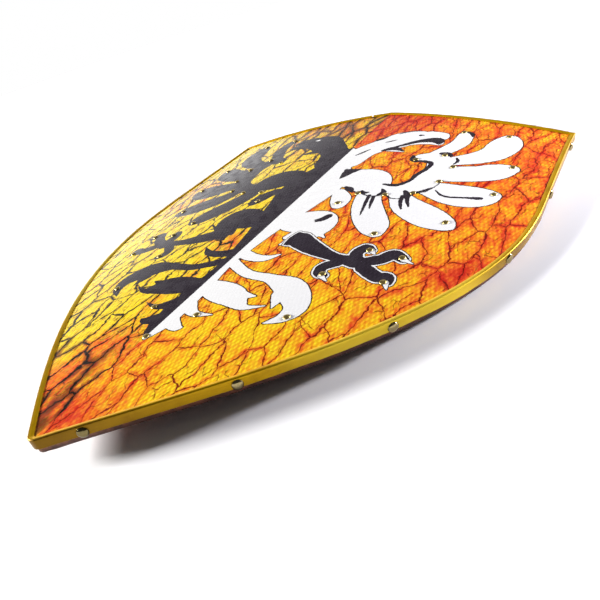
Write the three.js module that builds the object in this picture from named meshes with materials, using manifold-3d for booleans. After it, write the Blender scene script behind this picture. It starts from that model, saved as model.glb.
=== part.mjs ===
// Bent wooden heater shield with a canvas facing, a gold edge strip, edge tacks and face nails.
// Millimetres, +Z up. It lies face up on its two side edges, with the point towards -Y.
import * as THREE from 'three';
import { mergeVertices } from 'three/addons/utils/BufferGeometryUtils.js';
import Module from 'manifold-3d';

// Plan outline, measured flat before the bend: x from the middle line, y from the point
const HALF_WIDTH = 250.5;
const WIDEST_LOW_Y = 378;
const WIDEST_HIGH_Y = 392;
const CORNER_X = 239;
const CORNER_Y = 562;
const PEAK_Y = 600;
const POINT_RADIUS = 8;
const POINT_STRAIGHTNESS = 38;
const LOWER_SWELL_Y = 201;
const UPPER_SWELL_Y = 404;
const SHOULDER_SWELL_Y = 522;
const TOP_EDGE_HOLLOW = 1.5;

// Bend across the width, and how far the resting shield is pitched, point down
const BEND_RADIUS = 1173;
const REST_PITCH_DEG = 1.7;
const REST_FLAT_DEPTH = 0.5;

// Layers, as depths below the top of the edge strip's lip
const GAP = 0.3;
const STRIP_THICK = 1.5;
const STRIP_ROUNDING = 0.8;
const LIP_WIDTH = 6;
const BAND_HEIGHT = 10;
const CANVAS_THICK = 0.9;
const BOARD_THICK = 12.5;
const CANVAS_TOP = STRIP_THICK + GAP;
const BOARD_TOP = CANVAS_TOP + CANVAS_THICK + GAP;
const EDGE_INSET = STRIP_THICK + GAP;

// Domed tack heads on the band: distances along a side from the point, and across the top edge
const TACK_RADIUS = 4.8;
const TACK_HEIGHT = 2.6;
const TACK_DEPTH = 6.4;
const TACK_SIDES = 12;
const SIDE_TACKS = [40, 158, 284, 412, 526, 628];
const TOP_TACKS = [70, 185];

// Domed nail heads on the right half of the face: name, across, along
const NAIL_RADIUS = 3.2;
const NAIL_HEIGHT = 1.7;
const NAIL_SIDES = 10;
const TAIL_END_NAIL_Y = 126;
const FACE_NAILS = [
  ['tail_barb', 28, 163],
  ['tail_plume', 111, 184],
  ['rear_claw', 108, 245],
  ['lower_claw', 164, 251],
  ['upper_claw', 164, 288],
  ['inner_claw', 131, 290],
  ['breast_tuft', 55, 362],
  ['feather_1_tip', 122, 316],
  ['feather_2_tip', 177, 352],
  ['feather_3_tip', 201, 413],
  ['feather_4_tip', 201, 470],
  ['feather_5_tip', 176, 537],
  ['feather_6_tip', 123, 540],
  ['feather_1_root', 67, 384],
  ['feather_2_root', 98, 386],
  ['feather_3_root', 125, 395],
  ['feather_4_root', 141, 423],
  ['feather_5_root', 143, 456],
  ['feather_6_root', 124, 480],
  ['wing_knuckle', 96, 466],
];

// How finely the outline and the heads are divided, and how close welded corners lie
const POINT_STEPS = 3;
const LOWER_STEPS = 15;
const UPPER_STEPS = 6;
const TOP_STEPS = 7;
const DOME_STEPS = 3;
const WELD = 1e-4;

const WOOD = new THREE.MeshStandardMaterial({ color: 0x6b3420, roughness: 0.6, metalness: 0 });
const CANVAS = new THREE.MeshStandardMaterial({ color: 0xf0932c, roughness: 0.45, metalness: 0 });
const GILT = new THREE.MeshStandardMaterial({ color: 0xd9b02a, roughness: 0.4, metalness: 0.8 });
const NICKEL = new THREE.MeshStandardMaterial({ color: 0xa9a48c, roughness: 0.3, metalness: 1 });
const BRASS = new THREE.MeshStandardMaterial({ color: 0xc9a23a, roughness: 0.3, metalness: 1 });

const wasm = await Module();
wasm.setup();

// Right half of the outline, from the rounded point up the side and along the top to the peak
function rightHalf() {
  const point = [];
  for (let i = 0; i <= POINT_STEPS; i++) {
    const turn = (i / POINT_STEPS) * (Math.PI / 4);
    const x = POINT_RADIUS * Math.sin(turn);
    const y = POINT_RADIUS * (Math.SQRT2 - Math.cos(turn));
    point.push(new THREE.Vector2(x, y));
  }
  const lower = new THREE.CubicBezierCurve(
    new THREE.Vector2(0, 0),
    new THREE.Vector2(POINT_STRAIGHTNESS, POINT_STRAIGHTNESS),
    new THREE.Vector2(HALF_WIDTH, LOWER_SWELL_Y),
    new THREE.Vector2(HALF_WIDTH, WIDEST_LOW_Y),
  );
  const upper = new THREE.CubicBezierCurve(
    new THREE.Vector2(HALF_WIDTH, WIDEST_HIGH_Y),
    new THREE.Vector2(HALF_WIDTH, UPPER_SWELL_Y),
    new THREE.Vector2(CORNER_X, SHOULDER_SWELL_Y),
    new THREE.Vector2(CORNER_X, CORNER_Y),
  );
  const top = new THREE.QuadraticBezierCurve(
    new THREE.Vector2(CORNER_X, CORNER_Y),
    new THREE.Vector2(CORNER_X / 2, (CORNER_Y + PEAK_Y) / 2 - 2 * TOP_EDGE_HOLLOW),
    new THREE.Vector2(0, PEAK_Y),
  );
  const low = [...point, ...lower.getSpacedPoints(LOWER_STEPS).slice(1)];
  const side = [...low, ...upper.getSpacedPoints(UPPER_STEPS)];
  const half = [...side, ...top.getSpacedPoints(TOP_STEPS).slice(1)];
  return { half, side, lowCount: low.length };
}

const { half, side, lowCount } = rightHalf();
const mirrored = half.slice(1, -1).reverse().map((p) => new THREE.Vector2(-p.x, p.y));
const outline = [...half, ...mirrored];

// The outline moved inwards by a distance, with its corners kept sharp
function inset(distance) {
  return outline.map((point, i) => {
    const arriving = point.clone().sub(outline.at(i - 1)).normalize();
    const leaving = outline[(i + 1) % outline.length].clone().sub(point).normalize();
    const edgeNormal = new THREE.Vector2(-arriving.y, arriving.x);
    const inward = new THREE.Vector2(-leaving.y, leaving.x).add(edgeNormal).normalize();
    return point.clone().addScaledVector(inward, distance / inward.dot(edgeNormal));
  });
}

// Place on the bent shield of a plan point at a depth below the lip
function bent(x, y, depth) {
  const turn = x / BEND_RADIUS;
  const reach = BEND_RADIUS - depth;
  return new THREE.Vector3(reach * Math.sin(turn), y, reach * Math.cos(turn) - BEND_RADIUS);
}

// Direction on the bent shield of a plan direction at x, with an upward share
function bentDirection(x, across, along, up) {
  const turn = x / BEND_RADIUS;
  const right = new THREE.Vector3(Math.cos(turn), 0, -Math.sin(turn));
  const outward = new THREE.Vector3(Math.sin(turn), 0, Math.cos(turn));
  return right.multiplyScalar(across).addScaledVector(outward, up).add(new THREE.Vector3(0, along, 0));
}

// Height of a line of plan points, with x rising, at one x
function heightAt(line, x) {
  const next = Math.max(1, line.findIndex((p) => p.x >= x - WELD));
  const a = line[next - 1];
  const b = line[next];
  return THREE.MathUtils.mapLinear(x, a.x, b.x, a.y, b.y);
}

// A closed mesh whose shared corners are one vertex
function closed(geometry) {
  geometry.deleteAttribute('normal');
  geometry.deleteAttribute('uv');
  return mergeVertices(geometry, WELD);
}

// A bent panel with the shield's outline, as strips that run from the lower edge to the upper edge
function panel(distance, top, thickness) {
  const ring = inset(distance);
  const low = ring.slice(0, lowCount);
  const high = ring.slice(lowCount, half.length).reverse();
  const steps = [...low, ...high].map((p) => p.x).sort((a, b) => a - b);
  const right = steps.filter((x, i) => i > 0 && x - steps[i - 1] > GAP && x < low.at(-1).x - GAP);
  right.push(low.at(-1).x);
  const across = [...right.map((x) => -x).reverse(), 0, ...right];
  const strips = across.length - 1;
  const geometry = new THREE.BoxGeometry(strips, 1, 1, strips, 1, 1);
  const position = geometry.attributes.position;
  for (let i = 0; i < position.count; i++) {
    const x = across[Math.round(position.getX(i) + strips / 2)];
    const line = position.getY(i) > 0 ? high : low;
    const depth = position.getZ(i) > 0 ? top : top + thickness;
    position.setXYZ(i, ...bent(x, heightAt(line, Math.abs(x)), depth));
  }
  return closed(geometry);
}

// The edge strip: its L section, as insets and depths, carried round the outline
function edgeStrip() {
  const section = [
    [0, STRIP_ROUNDING],
    [0, BAND_HEIGHT],
    [STRIP_THICK, BAND_HEIGHT],
    [STRIP_THICK, STRIP_THICK],
    [LIP_WIDTH, STRIP_THICK],
    [LIP_WIDTH, 0],
    [STRIP_ROUNDING, 0],
  ];
  const rings = section.map(([distance]) => inset(distance));
  const columns = outline.length;
  const geometry = new THREE.PlaneGeometry(columns, section.length, columns, section.length);
  const position = geometry.attributes.position;
  for (let i = 0; i < position.count; i++) {
    const column = i % (columns + 1);
    const row = Math.floor(i / (columns + 1)) % section.length;
    const { x, y } = rings[row][column % columns];
    position.setXYZ(i, ...bent(x, y, section[row][1]));
  }
  return closed(geometry);
}

// A domed head, its flat underside on the plane y = 0
function dome(radius, height, sides) {
  const profile = [new THREE.Vector2(0, 0)];
  for (let i = 0; i < DOME_STEPS; i++) {
    const rise = (i / DOME_STEPS) * (Math.PI / 2);
    profile.push(new THREE.Vector2(radius * Math.cos(rise), height * Math.sin(rise)));
  }
  profile.push(new THREE.Vector2(0, height));
  return closed(new THREE.LatheGeometry(profile, sides));
}

function toManifold(geometry) {
  const vertProperties = new Float32Array(geometry.attributes.position.array);
  const triVerts = new Uint32Array(geometry.index.array);
  return new wasm.Manifold(new wasm.Mesh({ numProp: 3, vertProperties, triVerts }));
}

function fromManifold(solid) {
  const { vertProperties, triVerts } = solid.getMesh();
  const geometry = new THREE.BufferGeometry();
  geometry.setAttribute('position', new THREE.BufferAttribute(vertProperties, 3));
  geometry.setIndex(new THREE.BufferAttribute(triVerts, 1));
  return geometry;
}

const shield = new THREE.Group();
shield.rotation.x = THREE.MathUtils.degToRad(REST_PITCH_DEG);

function add(name, geometry, material) {
  geometry.computeVertexNormals();
  const mesh = new THREE.Mesh(geometry, material);
  mesh.name = name;
  shield.add(mesh);
  return mesh;
}

// A head on the shield, its axis along a direction
function addHead(name, geometry, material, place, direction) {
  const head = add(name, geometry, material);
  head.position.copy(place);
  head.quaternion.setFromUnitVectors(new THREE.Vector3(0, 1, 0), direction.normalize());
}

// The shield is lifted until its side edges stand on the floor, on small planed flats
const blank = panel(EDGE_INSET, BOARD_TOP, BOARD_THICK);
shield.updateMatrix();
const pitched = blank.clone().applyMatrix4(shield.matrix);
pitched.computeBoundingBox();
shield.position.z = -pitched.boundingBox.min.z - REST_FLAT_DEPTH;
shield.updateMatrix();
const floor = new THREE.BoxGeometry(4 * HALF_WIDTH, 2 * PEAK_Y, BOARD_THICK);
floor.translate(0, PEAK_Y / 2, -BOARD_THICK / 2);
floor.applyMatrix4(shield.matrix.clone().invert());
const planed = toManifold(blank).subtract(toManifold(closed(floor)));
add('board', fromManifold(planed), WOOD);
add('face_canvas', panel(EDGE_INSET, CANVAS_TOP, CANVAS_THICK), CANVAS);
add('edge_trim', edgeStrip(), GILT);

// Tacks along both sides and the top edge
function placeOnLine(line, distance) {
  let left = distance;
  for (let i = 1; i < line.length; i++) {
    const run = line[i].clone().sub(line[i - 1]);
    const length = run.length();
    if (left <= length) {
      const place = line[i - 1].clone().addScaledVector(run, left / length);
      return { place, outward: new THREE.Vector2(run.y, -run.x).divideScalar(length) };
    }
    left -= length;
  }
  throw new Error('a tack lies beyond the end of its edge');
}

function addTack(name, place, outward, hand) {
  const seat = place.clone().addScaledVector(outward, GAP);
  const direction = bentDirection(hand * place.x, hand * outward.x, outward.y, 0);
  const head = dome(TACK_RADIUS, TACK_HEIGHT, TACK_SIDES);
  addHead(name, head, NICKEL, bent(hand * seat.x, seat.y, TACK_DEPTH), direction);
}

const topLine = half.slice(side.length - 1).reverse();
for (const [handName, hand] of [['right', 1], ['left', -1]]) {
  SIDE_TACKS.forEach((distance, i) => {
    const { place, outward } = placeOnLine(side, distance);
    addTack(`tack_${handName}_${i + 1}`, place, outward, hand);
  });
  TOP_TACKS.forEach((distance, i) => {
    const { place, outward } = placeOnLine(topLine, distance);
    addTack(`tack_top_${handName}_${i + 1}`, place, outward.negate(), hand);
  });
}

// Nails on the eagle, the same on both halves
function addNail(name, x, y) {
  const head = dome(NAIL_RADIUS, NAIL_HEIGHT, NAIL_SIDES);
  addHead(name, head, BRASS, bent(x, y, CANVAS_TOP - GAP), bentDirection(x, 0, 0, 1));
}

addNail('nail_tail_end', 0, TAIL_END_NAIL_Y);
for (const [name, across, along] of FACE_NAILS) {
  addNail(`nail_right_${name}`, across, along);
  addNail(`nail_left_${name}`, -across, along);
}

// The floor point under the middle of the shield is the origin
shield.position.y = -new THREE.Box3().setFromObject(shield, true).getCenter(new THREE.Vector3()).y;

export default shield;
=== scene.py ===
"""Bent wooden heater shield with a painted canvas facing, a gold edge strip, edge tacks and face nails.

Laid out as an add-on and run as a script: main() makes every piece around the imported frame.
Metres, +Z up. The shield lies face up with its point towards -Y. Plan places are measured flat,
before the bend: across from the middle line, along from the point.
"""

import math

import bmesh
import bpy
import numpy as np
from bpy.props import FloatProperty, FloatVectorProperty, PointerProperty
from mathutils import Matrix, Vector, noise


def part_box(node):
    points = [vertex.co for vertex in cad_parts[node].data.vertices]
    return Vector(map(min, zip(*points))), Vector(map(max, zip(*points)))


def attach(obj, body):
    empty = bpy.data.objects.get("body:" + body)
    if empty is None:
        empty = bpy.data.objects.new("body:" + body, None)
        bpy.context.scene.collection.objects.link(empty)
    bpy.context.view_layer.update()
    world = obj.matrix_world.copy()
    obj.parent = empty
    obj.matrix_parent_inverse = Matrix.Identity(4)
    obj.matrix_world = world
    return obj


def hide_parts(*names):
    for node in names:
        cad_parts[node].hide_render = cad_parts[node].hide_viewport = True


bl_info = {
    "name": "Painted Heater Shield",
    "version": (1, 0, 0),
    "blender": (4, 5, 0),
    "location": "View3D > Sidebar > Shield",
    "description": "Makes a bent wooden shield with a painted eagle, a gold edge strip, tacks and nails",
    "category": "Add Mesh",
}

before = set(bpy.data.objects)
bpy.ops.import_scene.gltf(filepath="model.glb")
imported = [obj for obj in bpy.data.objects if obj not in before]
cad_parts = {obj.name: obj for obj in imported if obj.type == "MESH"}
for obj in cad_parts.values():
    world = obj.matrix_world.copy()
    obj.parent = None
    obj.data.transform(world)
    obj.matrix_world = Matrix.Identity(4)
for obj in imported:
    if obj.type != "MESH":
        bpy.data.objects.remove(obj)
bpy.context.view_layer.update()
MM = 0.001

# How finely the pieces are divided
POINT_STEPS = 10
SIDE_STEPS = 250
TOP_STEPS = 96
CANVAS_COLUMNS = 120
CANVAS_ROWS = 144
BOARD_COLUMNS = 64
BOARD_ROWS = 76
PAINT_EDGE_CUTS = 3
FOLD_STEPS = 5
TACK_SIDES = 32
NAIL_SIDES = 24
FLOOR_SIDES = 96
SHARP_ANGLE = math.radians(40)

# Rounding of the edge strip's outer arris in the frame
FRAME_ROUNDING = 0.8 * MM
# Outline points from the peak to the joint of the strip's ends
PEAK_TO_JOINT = 10
# Long and short waves of the hand-fitted band
LONG_WAVE = 35 * MM
SHORT_WAVE = 12 * MM
# Rounding of a head's foot, as a share of its radius
FOOT_ROUNDING = 0.08

# The eagle's right half as brush strokes: places across and along and a half width, in millimetres
BODY = [
    [(0, 487, 6), (0, 470, 13), (0, 440, 24), (0, 400, 40), (0, 365, 34), (0, 333, 26), (0, 300, 18),
     (0, 267, 12), (0, 240, 8), (0, 200, 12), (0, 170, 14), (0, 145, 12), (0, 125, 3)],
    [(30, 320, 18), (53, 322, 22), (60, 308, 14)],
    [(66, 305, 4), (78, 298, 0.5)],
    [(57, 300, 4), (62, 291, 0.5)],
    [(46, 302, 8), (38, 292, 4), (34, 290, 0.5)],
    [(46, 296, 8), (42, 282, 4), (37, 278, 0.5)],
]
HEAD = [
    [(12, 460, 22), (22, 483, 18), (37, 501, 18), (53, 519, 17), (72, 524, 15)],
    [(84, 529, 10), (100, 527, 9), (107, 523, 4)],
    [(52, 492, 6), (72, 507, 6), (90, 512, 7), (104, 510, 6), (107, 505, 1.5)],
    [(46, 490, 5), (58, 489, 5), (72, 484, 1)],
]
WING_ARM = [
    [(45, 417, 20), (65, 412, 24), (85, 398, 13), (105, 398, 12), (122, 410, 14), (127, 430, 14),
     (128, 452, 13), (118, 473, 12), (100, 472, 8)],
]
FEATHERS = [
    [(44, 384, 7), (54, 370, 11), (58, 359, 8)],
    [(80, 385, 13), (88, 365, 15), (100, 346, 16.5), (114, 329, 15), (122, 318, 8)],
    [(112, 388, 9), (130, 370, 15), (155, 357, 17), (174, 350, 12), (185, 345, 3)],
    [(135, 408, 12), (163, 402, 18.5), (181, 402, 19), (193, 405, 15), (202, 410, 7)],
    [(140, 440, 14), (147, 441, 16), (170, 447, 16), (188, 456, 16), (201, 465, 8)],
    [(140, 470, 10), (158, 480, 13), (173, 495, 16.5), (178, 515, 18), (178, 528, 12)],
    [(112, 478, 9), (122, 495, 10), (129, 513, 10.5), (128, 532, 9)],
]
TAIL = [
    [(6, 258, 7), (22, 253, 6), (38, 254, 4.5), (50, 263, 0.5)],
    [(4, 243, 6), (35, 228, 5.5), (65, 226, 6.5), (92, 218, 14), (110, 200, 11), (108, 183, 6),
     (96, 171, 0.5)],
    [(88, 208, 8), (91, 190, 0.5)],
    [(6, 202, 9), (25, 198, 14), (45, 194, 13), (65, 184, 4), (84, 191, 0.5)],
    [(55, 198, 5), (67, 200, 0.5)],
    [(10, 172, 8), (25, 164, 4), (43, 167, 0.5)],
    [(8, 150, 8), (20, 144, 5), (27, 145, 0.5)],
]
LEG = [
    [(54, 290, 12), (75, 280, 10), (105, 271, 6), (128, 270, 9)],
    [(46, 302, 1), (50, 290, 9), (43, 279, 1)],
    [(126, 272, 7), (122, 283, 6), (126, 292, 6), (133, 290, 4)],
    [(135, 272, 6.5), (147, 280, 7), (155, 290, 7), (166, 286, 5)],
    [(138, 264, 7), (155, 256, 7), (164, 258, 6), (168, 252, 4)],
    [(112, 264, 6), (103, 255, 6), (104, 246, 5.5), (110, 243, 4)],
]
CLAWS = [
    [(166, 286, 3), (176, 283, 0.5)],
    [(166, 251, 3), (171, 243, 0.5)],
    [(108, 242, 3), (117, 237, 0.5)],
    [(133, 290, 3), (139, 285, 0.5)],
]
INK_LINES = [
    [(45, 397, 1), (52, 391, 1.2), (60, 386, 1), (66, 388, 1), (73, 384, 1.2), (80, 381, 1), (90, 382, 1.1),
     (97, 387, 1), (105, 381, 1.1), (115, 381, 1), (122, 385, 1.2), (127, 393, 1), (134, 400, 1.2),
     (140, 408, 0.9), (143, 420, 0.7)],
    [(45, 396, 1.5), (53, 392, 4), (59, 386, 1.5)],
    [(69, 390, 1.5), (73, 386, 3), (78, 388, 1)],
    [(89, 397, 1), (94, 391, 3.2), (91, 385, 2)],
    [(115, 397, 2), (120, 391, 3.6), (118, 385, 2)],
    [(129, 397, 2), (135, 402, 2.8), (139, 409, 1)],
    [(86, 407, 1.6), (100, 407, 3), (110, 418, 2.4), (112, 432, 2.8), (117, 447, 2.8), (117, 459, 3),
     (108, 463, 2.6), (96, 462, 2)],
    [(98, 462, 3), (92, 467, 4), (89, 475, 1.5)],
    [(82, 382, 2), (86, 365, 2), (92, 343, 0.8)],
    [(88, 380, 2), (91, 369, 2), (95, 357, 0.8)],
    [(117, 387, 2.2), (121, 374, 2.2), (127, 363, 1)],
    [(123, 388, 2.4), (126, 379, 2.2), (132, 369, 1)],
    [(145, 405, 0.8), (153, 398, 1.5), (163, 396, 1.5), (178, 399, 1.6), (188, 401, 2.6), (192, 402, 2.4)],
    [(23, 436, 2), (30, 432, 6), (40, 437, 2)],
    [(29, 429, 7), (28, 421, 4), (27, 415, 1)],
    [(49, 326, 1), (56, 329, 4), (60, 336, 4)],
    [(51, 323, 1), (57, 327, 2)],
    [(15, 473, 1), (20, 480, 1.8), (26, 489, 1)],
    [(38, 508, 1), (43, 511, 1.6), (49, 515, 0.8)],
    [(20, 512, 1), (26, 517, 3), (33, 523, 1)],
    [(45, 532, 0.8), (55, 538, 1.5), (68, 541, 0.8)],
    [(52, 492, 1.5), (64, 501, 3), (78, 511, 4), (94, 516, 6), (103, 514, 6.5), (106, 507, 2)],
    [(45, 486, 2.5), (54, 491, 4.5), (63, 490, 3.5), (71, 485, 1)],
    [(119, 484, 3), (126, 483, 4.5), (132, 480, 1.5)],
    [(139, 476, 1.2), (143, 469, 2), (141, 462, 1)],
    [(127, 541, 1.2), (133, 537, 2.4), (137, 530, 1)],
]
EYE = [[(74, 528, 2.2), (78, 528, 1.2)]]
# In millimetres: how far from a rim its distance is worked out, and how near to one the canvas is finer
FAR_FROM_PAINT = 14.0
PAINT_EDGE_BAND = 5.0
# In millimetres: how softly a paint ends, how raggedly, and the lines around the pale half's shapes
PAINT_SOFTNESS = 0.18
RAGGEDNESS = 1.4
FIGURE_CONTOUR = 1.1
LEG_CONTOUR = 2.4
LEG_RIM = 1.5
CLAW_CONTOUR = 0.8

# Broad areas of the cracked ground, right half first: place across and along and radius in millimetres,
# and how much hotter or smokier the ground is there
HEAT = [
    (95, 150, 140, -0.24), (14, 34, 50, 0.42), (215, 270, 36, 0.40), (223, 302, 30, 0.35),
    (232, 345, 30, 0.30), (15, 575, 150, 0.46), (215, 500, 160, 0.22), (20, 110, 36, 0.12),
    (150, 400, 200, 0.14), (75, 120, 60, -0.06),
    (-20, 125, 60, 0.45), (-130, 180, 80, 0.16), (-40, 575, 190, 0.62), (-8, 22, 44, 0.50),
    (-22, 275, 55, 0.60), (-215, 400, 130, 0.42), (-28, 60, 100, 0.75), (-62, 45, 44, 0.30),
    (-30, 213, 32, 0.45), (-33, 173, 28, 0.40),
]
SMOKE = [
    (-9, 14, 26, 0.90), (-16, 48, 34, 0.45), (-23, 86, 34, 0.50), (-59, 47, 26, 0.35), (-75, 95, 36, 0.40),
    (-60, 570, 150, 0.45), (-120, 150, 60, 0.20), (-225, 400, 110, 0.25), (-150, 230, 80, 0.12),
]

# Tints in linear light: the weave's hollows on the ground and on dark paint, and random lighter patches on
# dark paint, brush marks with painted sheen
GROUND_HOLLOW = (0.78, 0.50, 0.38, 1.0)
DARK_HOLLOW = (0.5, 0.5, 0.5, 1.0)
BRUSH_AND_SHEEN = (0.07, 0.06, 0.078, 1.0)

# Where thin cracks grow commoner, in metres from the point
UPPER_CRACKS_ALONG = (0.33, 0.48)

# Stretches over which the metal changes, in metres in the frame: from the middle line, or along Y. They
# place the strip's painted highlight, its widest place, the painted shade on its band, and the painted
# shade on the heads towards the point
HIGHLIGHT_ACROSS = (0.12, 0.17)
HIGHLIGHT_ALONG = (0.0, 0.1)
WIDEST_ACROSS = (0.222, 0.245)
SHADED_SHOULDER_ALONG = (0.1, 0.2)
SHADED_POINT_ALONG = (-0.3, -0.1)
SHADED_HEADS_ALONG = (-0.3, -0.15)
# Where the strip's band ends and its fold starts, from the band's foot around the section
BAND_GIRTH = (0.0095, 0.0115)

# Camera: the photograph's standpoint, its aim and its roll
CAMERA_EYE = Vector((0.4042, -0.4035, 0.2854))
CAMERA_AIM = Vector((0.1095, -0.0953, 0.03))
CAMERA_ROLL = math.radians(-17.88)
CAMERA_LENS = 35.96
CAMERA_SENSOR = 36.0

# The two soft lights: place, width, height and tint
LEFT_LIGHT = (Vector((-3.47, -2.09, 1.36)), 1.12, 0.75, (1.0, 0.99, 0.97))
BACK_LIGHT = (Vector((0.824, 0.757, 0.255)), 0.10, 0.22, (0.93, 0.92, 1.0))
# The side where the surround is bright, and over which turn and height it fades
BRIGHT_SIDE = Vector((-0.69, 0.72, 0.0))
BRIGHT_TURN = (-0.2, 0.6)
BRIGHT_HEIGHT = (0.08, 0.36)
# The floor, and how far from the middle it turns plain white to the camera
FLOOR_RADIUS = 2.6
FLOOR_DROP = 0.5 * MM
FLOOR_FADE = (0.6, 1.3)


def linear(value):
    """One colour channel of 0 to 255 as the light that it stands for."""
    level = value / 255
    return level / 12.92 if level <= 0.04045 else ((level + 0.055) / 1.055) ** 2.4


def size(name, description, millimetres):
    """A length that a user may change."""
    return FloatProperty(name=name, description=description, default=millimetres * MM, min=0.0,
                         precision=4, subtype="DISTANCE", unit="LENGTH")


def colour(name, description, red, green, blue):
    """A colour that a user may change."""
    return FloatVectorProperty(name=name, description=description, size=4, min=0.0, max=1.0,
                               default=(linear(red), linear(green), linear(blue), 1.0), subtype="COLOR")


def share(name, description, default):
    """A plain share from 0 to 1 that a user may change."""
    return FloatProperty(name=name, description=description, default=default, min=0.0, max=1.0,
                         subtype="FACTOR")


def strength(name, description, default):
    """A light's plain strength that a user may change."""
    return FloatProperty(name=name, description=description, default=default, min=0.0)


def power(name, description, watts):
    """A lamp's power that a user may change."""
    return FloatProperty(name=name, description=description, default=watts, min=0.0, subtype="POWER",
                         unit="POWER")


class ShieldForm(bpy.types.PropertyGroup):
    """The shield's plan outline, its bend and its layers."""

    half_width: size("Half width", "Half of the widest width, before the bend", 250.5)
    widest_low: size("Widest from", "Where the straight stretch at the widest place starts", 378)
    widest_high: size("Widest to", "Where the straight stretch at the widest place ends", 392)
    corner_across: size("Corner across", "Upper corner, from the middle line", 239)
    corner_along: size("Corner along", "Upper corner, from the point", 562)
    peak_along: size("Height", "Peak of the upper edge, from the point", 600)
    point_radius: size("Point radius", "Rounding of the point", 8)
    point_straightness: size("Point straightness", "How far the sides leave the point at 45 degrees", 38)
    lower_swell: size("Lower swell", "Height of the handle that swells the lower side", 201)
    upper_swell: size("Upper swell", "Height of the handle that swells the upper side", 404)
    shoulder_swell: size("Shoulder swell", "Height of the handle below the upper corner", 522)
    top_hollow: size("Top hollow", "How far each half of the upper edge is hollowed", 1.5)
    bend_radius: size("Bend radius", "Radius that the board is bent to across its width", 1173)
    rest_pitch: FloatProperty(name="Rest pitch", description="How far the resting shield leans, point down",
                              default=math.radians(1.7), subtype="ANGLE", unit="ROTATION")
    gap: size("Gap", "Clearance between layers", 0.3)
    strip_thick: size("Strip thickness", "Sheet thickness of the edge strip", 1.5)
    strip_fold: size("Strip fold", "Radius of the strip's fold", 1.3)
    lip_width: size("Lip width", "How far the strip laps over the canvas", 5)
    lip_dip: size("Lip dip", "How far the lip's inner edge is pressed down to the canvas", 1.0)
    band_height: size("Band height", "How far the strip reaches down the edge", 10)
    dent: size("Dents", "How far the hand-fitted band waves in and out", 0.3)
    canvas_thick: size("Canvas thickness", "Thickness of the canvas facing", 0.9)
    board_thick: size("Board thickness", "Thickness of the plywood board", 12.5)
    board_arris: size("Board arris", "Rounding of the board's edges", 0.8)
    tack_radius: size("Tack radius", "Radius of the edge tacks' heads", 4.8)
    tack_height: size("Tack height", "Height of the edge tacks' heads", 2.6)
    tack_wear: share("Tack wear", "How much of their height the edge tacks' heads have lost", 0.12)
    nail_radius: size("Nail radius", "Radius of the face nails' heads", 3.2)
    nail_height: size("Nail height", "Height of the face nails' heads", 1.7)
    nail_wear: share("Nail wear", "How much of their height the face nails' heads have lost", 0.4)


class ShieldPaint(bpy.types.PropertyGroup):
    """Colours and grain of the painted facing."""

    yellow: colour("Yellow ground", "Coolest colour of the cracked ground", 252, 226, 36)
    amber: colour("Amber ground", "Second colour of the cracked ground", 250, 188, 36)
    orange: colour("Orange ground", "Third colour of the cracked ground", 242, 136, 38)
    scarlet: colour("Scarlet ground", "Fourth colour of the cracked ground", 230, 88, 40)
    red: colour("Red ground", "Hottest colour of the cracked ground", 206, 46, 28)
    crack: colour("Cracks", "Colour in the cracks of the right half", 122, 16, 4)
    dark_crack: colour("Dark cracks", "Colour in the cracks of the left half", 24, 15, 8)
    ochre: colour("Ochre streaks", "Fine streaks on the left half", 146, 100, 20)
    brown: colour("Brown smoke", "Brown clouds on the left half", 88, 46, 20)
    dark: colour("Dark eagle", "The eagle's left half, its legs and its ink lines", 44, 36, 46)
    pale: colour("Pale eagle", "The eagle's right half", 234, 234, 234)
    contour: colour("Contour", "Thin line around the pale half", 44, 24, 14)
    cell_across: size("Crack cells across", "Usual width of a cell between main cracks", 18)
    cell_along: size("Crack cells along", "Usual length of a cell between main cracks", 46)
    crack_width: size("Crack width", "Widest half width of a main crack", 1.5)
    weave_across: size("Weave across", "Distance between threads of the canvas across the shield", 4.0)
    weave_along: size("Weave along", "Distance between threads of the canvas along the shield", 10.0)
    roughness: share("Varnish roughness", "How dull the varnish over the paint is", 0.26)


class ShieldMetals(bpy.types.PropertyGroup):
    """Colours and dullness of the metals, and the board's wood."""

    gilt: colour("Gilt", "Edge strip", 252, 198, 16)
    # Painted highlight: a brighter gilt laid on the strip's lower sides, short of the widest place
    highlight_gilt: colour("Bright gilt", "Polished stretch of the strip below the widest place", 255, 218, 60)
    worn_gilt: colour("Worn gilt", "Rubbed and tarnished places of the edge strip", 168, 116, 8)
    # Painted shade: a darker gilt laid on the band at the point and the shoulders
    shaded_gilt: colour("Dull gilt", "Handled parts of the band, at the point and the shoulders", 100, 68, 5)
    nickel: colour("Nickel", "Edge tacks", 172, 156, 110)
    # Tarnish patches, also laid on the heads towards the point as painted shade
    tarnish_and_shade: colour("Tarnish", "Dull patches of the tacks and nails", 96, 84, 48)
    brass: colour("Brass", "Face nails", 216, 192, 118)
    wood: colour("Stained wood", "Board, light grain", 128, 70, 40)
    dark_wood: colour("Dark wood", "Board, dark grain", 62, 28, 16)
    tack_roughness: share("Tack roughness", "How dull the edge tacks are", 0.12)
    nail_roughness: share("Nail roughness", "How dull the face nails are", 0.34)
    ply: size("Ply", "Distance between the layer lines on the board's edge", 5)


class StudioLight(bpy.types.PropertyGroup):
    """Floor and lights."""

    floor: colour("Floor", "Colour of the floor", 250, 250, 252)
    bright_sky: strength("Bright surround", "Strength of the surround behind the shield", 1.5)
    dim_sky: strength("Dim surround", "Strength of the surround elsewhere", 0.07)
    left: power("Left light", "Power of the soft light before the left side", 525)
    back: power("Back light", "Power of the soft light behind the right side", 24)


# Plan outline and the bend

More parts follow.
